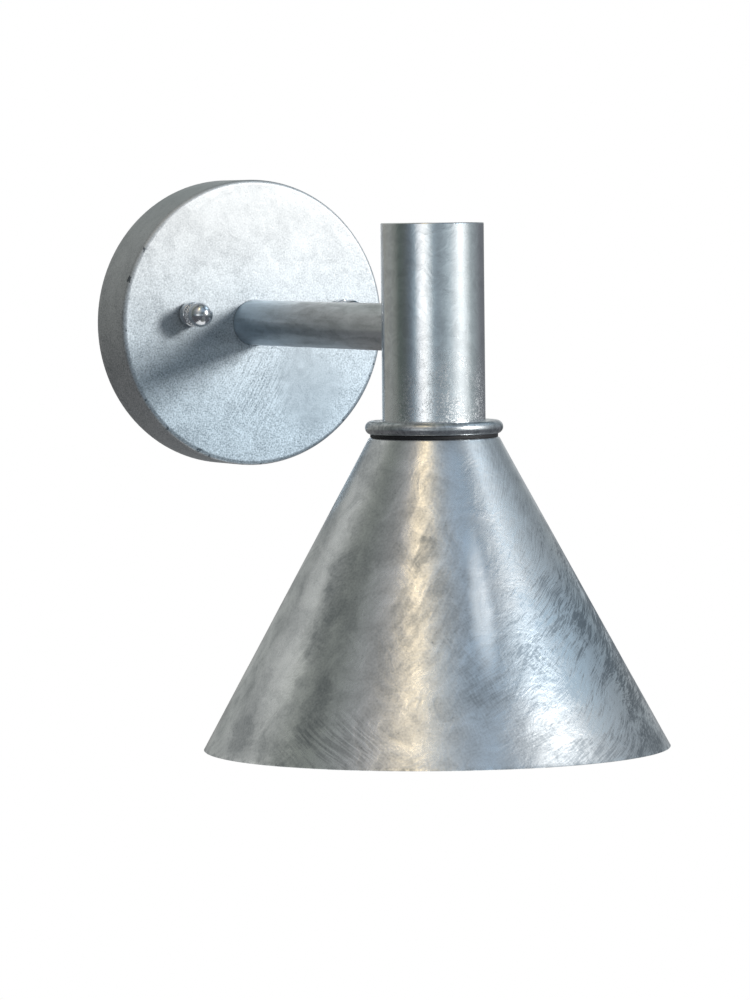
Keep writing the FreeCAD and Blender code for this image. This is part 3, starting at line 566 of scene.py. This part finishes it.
def turnedPiece(name, node, profile, steps, at, shape, along=(0, 0, 1), closed=False, crease=32):
    along = Vector(along)
    across = Vector((1, 0, 0))
    other = along.cross(across)
    made = bmesh.new()
    rings = []
    for radius, height in profile:
        centre = at + along * height * mm
        if radius == 0:
            rings.append([made.verts.new(centre)] * steps)
            continue
        ring = []
        for step in range(steps):
            turn = 2 * math.pi * step / steps
            reach = shape(radius, height, turn) * mm
            ring.append(made.verts.new(centre + (across * math.cos(turn) + other * math.sin(turn)) * reach))
        rings.append(ring)
    for lower, upper in zip(rings, rings[1:] + rings[:1] if closed else rings[1:]):
        for step in range(steps):
            ahead = (step + 1) % steps
            corners = dict.fromkeys((lower[step], lower[ahead], upper[ahead], upper[step]))
            made.faces.new(tuple(corners))
    bmesh.ops.recalc_face_normals(made, faces=made.faces)
    mesh = bpy.data.meshes.new(name)
    made.to_mesh(mesh)
    made.free()
    mesh.shade_smooth()
    mesh.set_sharp_from_angle(angle=math.radians(crease))
    piece = bpy.data.objects.new(name, mesh)
    scene.collection.objects.link(piece)
    mesh.materials.append(ownFinish.get(node, finishes[nodeSlots[node]]))
    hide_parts(node)
    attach(piece, nodeBodies[node])


def arc(centre, radius, start, end, count):          # points of an arc, degrees from the outward side
    turns = [math.radians(start + (end - start) * i / count) for i in range(count + 1)]
    return [(centre[0] + radius * math.cos(t), centre[1] + radius * math.sin(t)) for t in turns]


def spread(low, high, count):
    return [low + (high - low) * i / count for i in range(count + 1)]


# Domed cap nuts: a plain base, rows of pressed beads round the neck, and a ball

nutSettings = {"baseR": 6.3, "baseH": 5.0, "edge": 0.7, "neckR": 5.15, "beadR": 0.75, "rows": 3, "beads": 22,
               "beadPowers": (0.6, 0.7), "ballR": 6.4, "ballH": 12.8, "boreR": 2.6, "boreH": 11.0,
               "boreEdge": 1, "footShare": 0.4, "footArc": (-70, 0, 3), "baseArc": (0, 90, 6), "neckRows": 30,
               "domeEnd": 88, "domeRows": 30, "crease": 50, "steps": 132}


def capNut(name, node, settings):
    s = settings
    centre = middle(node)
    at = Vector((centre.x, span(node)[1].y, centre.z))
    length, width = s["beadPowers"]
    neckTop = s["ballH"] - math.sqrt(s["ballR"] ** 2 - s["neckR"] ** 2)
    pitch = (neckTop - s["baseH"]) / s["rows"]

    def beaded(radius, height, turn):
        if not s["baseH"] < height < neckTop:
            return radius
        row, part = divmod((height - s["baseH"]) / pitch, 1)
        bead = 0.5 + 0.5 * math.cos(s["beads"] * turn + math.pi * row)
        return radius + s["beadR"] * math.sin(math.pi * part) ** length * bead ** width

    startBall = math.degrees(math.asin((neckTop - s["ballH"]) / s["ballR"]))
    foot = s["edge"] * s["footShare"]
    profile = [(0, s["boreH"]), (s["boreR"], s["boreH"] - s["boreEdge"]), (s["boreR"], 0)]
    profile += [(s["baseR"] - foot, 0)] + arc((s["baseR"] - foot, foot), foot, *s["footArc"])
    profile += arc((s["baseR"] - s["edge"], s["baseH"] - s["edge"]), s["edge"], *s["baseArc"])
    profile += [(s["neckR"], h) for h in spread(s["baseH"], neckTop, s["neckRows"])]
    profile += arc((0, s["ballH"]), s["ballR"], startBall, s["domeEnd"], s["domeRows"])
    profile += [(0, s["ballH"] + s["ballR"])]
    turnedPiece(name, node, profile, s["steps"], at, beaded, (0, -1, 0), crease=s["crease"])


capNut("beaded_nut_left", "cap_nut_left", nutSettings)
capNut("beaded_nut_right", "cap_nut_right", nutSettings)


# The lampholder's barrel with its moulded screw thread, which the shade's ring runs on

barrelSettings = {"innerR": 18.5, "wallR": 20.5, "coreH": 32.0, "mouthR": 16.0, "shoulderR": 22.5,
                  "shoulderLow": 26.7, "shoulderHigh": 31.0, "edge": 0.4, "skirtR": 19.2, "depth": 1.0,
                  "pitch": 2.5, "crestPower": 1.4, "runOut": 1.2, "rows": 84, "steps": 96}


def threadedBarrel(settings):
    s = settings
    low, high = span("holder_barrel")
    at = Vector((0, tubeAxis.y, low.z))
    top = (high.z - low.z) / mm

    def threaded(radius, height, turn):
        if radius != s["skirtR"] or not 0 < height < s["shoulderLow"]:
            return radius
        fade = min(1, height / s["runOut"], (s["shoulderLow"] - height) / s["runOut"])
        wave = 0.5 - 0.5 * math.cos(2 * math.pi * height / s["pitch"] - turn)
        return radius - s["depth"] * fade * wave ** s["crestPower"]

    profile = [(s["mouthR"], 0), (s["skirtR"] - s["edge"], 0)]
    profile += [(s["skirtR"], h) for h in spread(s["edge"], s["shoulderLow"], s["rows"])]
    outer, edge, shoulderLow, shoulderHigh = s["shoulderR"], s["edge"], s["shoulderLow"], s["shoulderHigh"]
    profile += [(outer - edge, shoulderLow), (outer, shoulderLow + edge), (outer, shoulderHigh - edge),
                (outer - edge, shoulderHigh), (s["wallR"], shoulderHigh), (s["wallR"], top),
                (s["innerR"], top), (s["innerR"], s["coreH"]), (s["mouthR"], s["coreH"])]
    turnedPiece("threaded_barrel", "holder_barrel", profile, s["steps"], at, threaded, closed=True)


threadedBarrel(barrelSettings)


# The shade: thin spun zinc-coated sheet, a little uneven, its cut edge softened by the coating

shadeSettings = {"topR": 31.4, "holeR": 20.2, "cornerR": 2.2, "cornerRows": 8, "wall": 1.5, "edge": 0.45,
                 "rows": 90, "innerRows": 30, "steps": 256, "dent": 0.16, "dentSize": 34.0, "ripple": 0.05,
                 "rippleSize": 9.0, "evenInside": 3, "evenTop": 12,
                 "outerEdge": ((0.15, 0.4), (0.45, 0.1), (1, 0)), "innerEdge": ((0.5, 0), (0, 0.5))}


def spunShade(settings):
    s = settings
    low, high = span("shade")
    at = Vector((0, tubeAxis.y, low.z))
    bottomR, top = halfWidth("shade") / mm, (high.z - low.z) / mm
    lean = math.atan2(bottomR - s["topR"], top)
    tilt = math.degrees(lean)
    levelWall = s["wall"] / math.cos(lean)
    corner = (s["topR"] - s["cornerR"] * math.tan((math.pi / 2 - lean) / 2), top - s["cornerR"])

    def outer(height):
        return bottomR - (bottomR - s["topR"]) * height / top

    def uneven(radius, height, turn):
        if radius < s["holeR"] + s["evenInside"] or height > top - s["cornerR"]:
            return radius
        place = Vector((radius * math.cos(turn), radius * math.sin(turn), height))
        push = s["dent"] * (noise.noise(place / s["dentSize"]) + 1) / 2
        push += s["ripple"] * (noise.noise(place / s["rippleSize"]) + 1) / 2
        return radius - push * min(1, (top - height) / s["evenTop"])

    profile = [(s["holeR"], top)] + arc(corner, s["cornerR"], 90, tilt, s["cornerRows"])
    start = profile[-1][1]
    profile += [(outer(h), h) for h in spread(start, s["edge"], s["rows"])[1:]]
    edge, inner, ceiling = s["edge"], bottomR - levelWall, top - s["wall"]
    profile += [(bottomR - edge * inward, edge * up) for inward, up in s["outerEdge"]]
    profile += [(inner + edge * outward, edge * up) for outward, up in s["innerEdge"]]
    innerTop = s["topR"] + s["wall"] * math.tan(lean) - levelWall
    profile += [(inner + (innerTop - inner) * h / ceiling, h) for h in spread(0, ceiling, s["innerRows"])[1:]]
    profile += [(s["holeR"], ceiling)]
    turnedPiece("spun_shade", "shade", profile, s["steps"], at, uneven, closed=True)


spunShade(shadeSettings)
print("turned pieces made")


# Light: a strong key from the right, a cool side box above it, a warm lamp high on the left and a faint box
# overhead. Each has the brightness of its face, and its size in metres.

lightDistance = 2.2
lightSettings = {
    "key": {"azimuth": 38, "elevation": 18.5, "size": (0.54, 0.58), "bright": 40, "tint": (1.0, 0.99, 0.96)},
    "sideBox": {"azimuth": 68, "elevation": 48, "size": (0.95, 0.60), "bright": 1.5,
                "tint": (0.68, 0.86, 1.0)},
    "warmLamp": {"azimuth": -43, "elevation": 56, "size": (0.32, 0.90), "bright": 2.3,
                 "tint": (1.0, 0.74, 0.36)},
    "topBox": {"azimuth": 0, "elevation": 80, "size": (0.80, 0.80), "bright": 0.3, "tint": (0.8, 1.0, 0.9)},
}


def placeLight(name, settings):
    azimuth, elevation = (math.radians(settings[k]) for k in ("azimuth", "elevation"))
    outward = Vector((math.sin(azimuth) * math.cos(elevation), -math.cos(azimuth) * math.cos(elevation),
                      math.sin(elevation)))
    data = bpy.data.lights.new(name, "AREA")
    data.shape, (data.size, data.size_y) = "RECTANGLE", settings["size"]
    data.energy = settings["bright"] * math.pi * data.size * data.size_y
    data.color = settings["tint"]
    lamp = bpy.data.objects.new(name, data)
    lamp.location = lampCentre + outward * lightDistance
    lamp.rotation_euler = outward.to_track_quat("Z", "Y").to_euler()
    scene.collection.objects.link(lamp)


for lightName, lightRow in lightSettings.items():
    placeLight(lightName, lightRow)


# The room round the lamp: white to the camera, and for the metal to reflect, rings of light one above
# another. Each fades in between two elevations, and its stops are bearings in degrees with their light.

roomRings = [
    {"fade": (-91, -90), "stops": [(-180, (0.20, 0.20, 0.20)), (-90, (0.10, 0.10, 0.11)),
                                   (0, (0.12, 0.13, 0.15)), (90, (0.12, 0.13, 0.15)),
                                   (180, (0.20, 0.20, 0.20))]},
    {"fade": (-9, -6), "stops": [(-180, (0.40, 0.40, 0.37)), (-155, (0.32, 0.33, 0.31)),
                                 (-135, (0.31, 0.33, 0.32)), (-120, (0.24, 0.26, 0.24)),
                                 (-108, (0.10, 0.13, 0.12)), (-92, (0.10, 0.12, 0.12)),
                                 (-78, (0.14, 0.18, 0.22)), (-66, (0.39, 0.50, 0.57)),
                                 (-56, (1.42, 1.48, 1.54)), (-46, (1.90, 1.92, 1.90)),
                                 (-36, (1.30, 1.41, 1.46)), (-26, (0.40, 0.51, 0.58)),
                                 (-14, (0.34, 0.41, 0.46)), (0, (0.47, 0.56, 0.61)),
                                 (12, (0.70, 0.82, 0.88)), (22, (0.98, 1.08, 1.12)),
                                 (34, (1.26, 1.36, 1.39)), (46, (1.20, 1.30, 1.33)),
                                 (56, (0.88, 0.97, 0.99)), (68, (0.42, 0.49, 0.51)),
                                 (84, (0.31, 0.35, 0.37)), (104, (0.19, 0.20, 0.22)),
                                 (128, (0.16, 0.17, 0.19)), (154, (0.30, 0.30, 0.29)),
                                 (180, (0.38, 0.38, 0.35))]},
    {"fade": (0, 4), "stops": [(-180, (0.40, 0.42, 0.40)), (-155, (0.42, 0.43, 0.42)),
                               (-130, (0.36, 0.37, 0.35)), (-105, (0.14, 0.16, 0.15)),
                               (-70, (0.26, 0.28, 0.30)), (-40, (0.50, 0.52, 0.52)),
                               (-14, (0.14, 0.17, 0.19)), (10, (0.10, 0.13, 0.16)),
                               (50, (0.12, 0.15, 0.18)), (80, (0.30, 0.34, 0.38)),
                               (110, (0.24, 0.28, 0.31)), (126, (0.28, 0.32, 0.34)),
                               (140, (0.60, 0.63, 0.65)), (152, (0.80, 0.82, 0.82)),
                               (166, (0.50, 0.52, 0.52)), (180, (0.40, 0.42, 0.40))]},
    {"fade": (20, 32), "stops": [(-180, (0.41, 0.46, 0.44)), (-158, (0.60, 0.63, 0.62)),
                                 (-140, (0.59, 0.60, 0.58)), (-124, (0.30, 0.32, 0.29)),
                                 (-108, (0.16, 0.18, 0.16)), (-90, (0.28, 0.30, 0.30)),
                                 (-72, (0.37, 0.38, 0.40)), (-56, (0.66, 0.64, 0.62)),
                                 (-40, (0.76, 0.76, 0.74)), (-24, (0.60, 0.64, 0.65)),
                                 (-8, (0.36, 0.45, 0.55)), (10, (0.33, 0.44, 0.56)),
                                 (28, (0.16, 0.24, 0.32)), (44, (0.05, 0.09, 0.13)),
                                 (58, (0.12, 0.18, 0.24)), (74, (0.34, 0.43, 0.50)),
                                 (94, (0.36, 0.44, 0.50)), (118, (0.18, 0.24, 0.29)),
                                 (142, (0.03, 0.06, 0.07)), (162, (0.14, 0.20, 0.18)),
                                 (180, (0.41, 0.46, 0.44))]},
    {"fade": (58, 68), "stops": [(-180, (0.16, 0.17, 0.18)), (180, (0.16, 0.17, 0.18))]},
]
brightest = 2.0                                     # a ramp holds no more than 1, so it keeps a share of this


def roomLight(rings):
    world = bpy.data.worlds.new("room")
    scene.world = world
    world.use_nodes = True
    world.node_tree.nodes.clear()
    graph = Graph(world.node_tree)
    split = graph.node("ShaderNodeSeparateXYZ", {}, {0: graph.node("ShaderNodeTexCoord", out="Generated")})
    share = graph.bearing(split).ranged(-180, 180, 0, 1)
    rise = split.sum("ARCSINE", split.also("Z")) * (180 / math.pi)
    light = (0, 0, 0)
    for ring in rings:
        stops = [((bearing + 180) / 360, [v / brightest for v in colour])
                 for bearing, colour in ring["stops"]]
        shown = graph.node("ShaderNodeValToRGB", {"stops": stops}, {"Fac": share})
        light = graph.mix(rise.above(*ring["fade"]), light, shown)
    lit = graph.node("ShaderNodeBackground", {}, {"Color": light, "Strength": brightest})
    white = graph.node("ShaderNodeBackground", {}, {"Color": (1, 1, 1)})
    seen = graph.node("ShaderNodeLightPath", out="Is Camera Ray")
    room = graph.node("ShaderNodeMixShader", {}, {0: seen, 1: lit, 2: white})
    graph.node("ShaderNodeOutputWorld", {}, {"Surface": room})


roomLight(roomRings)
scene.view_settings.view_transform = "Standard"


# A pale floor well below the lamp, which the metal reflects; it is part of the stage only

floorSettings = {"below": 0.60, "reach": 0.42, "colour": (0.80, 0.80, 0.80), "rough": 0.9, "glow": 0.55}


def paleFloor(settings):
    low, reach = span("shade")[0].z - settings["below"], settings["reach"]
    mesh = bpy.data.meshes.new("paleFloor")
    corners = [(lampCentre.x + x * reach, lampCentre.y + y * reach, low)
               for x, y in ((-1, -1), (1, -1), (1, 1), (-1, 1))]
    mesh.from_pydata(corners, [], [(0, 1, 2, 3)])
    floor = bpy.data.objects.new("paleFloor", mesh)
    scene.collection.objects.link(floor)
    pale = Finish("pale_floor", settings["colour"], Roughness=settings["rough"], Emission_Color=(1, 1, 1),
                  Emission_Strength=settings["glow"])
    mesh.materials.append(pale.material)


paleFloor(floorSettings)
print("camera, lights and floor placed")
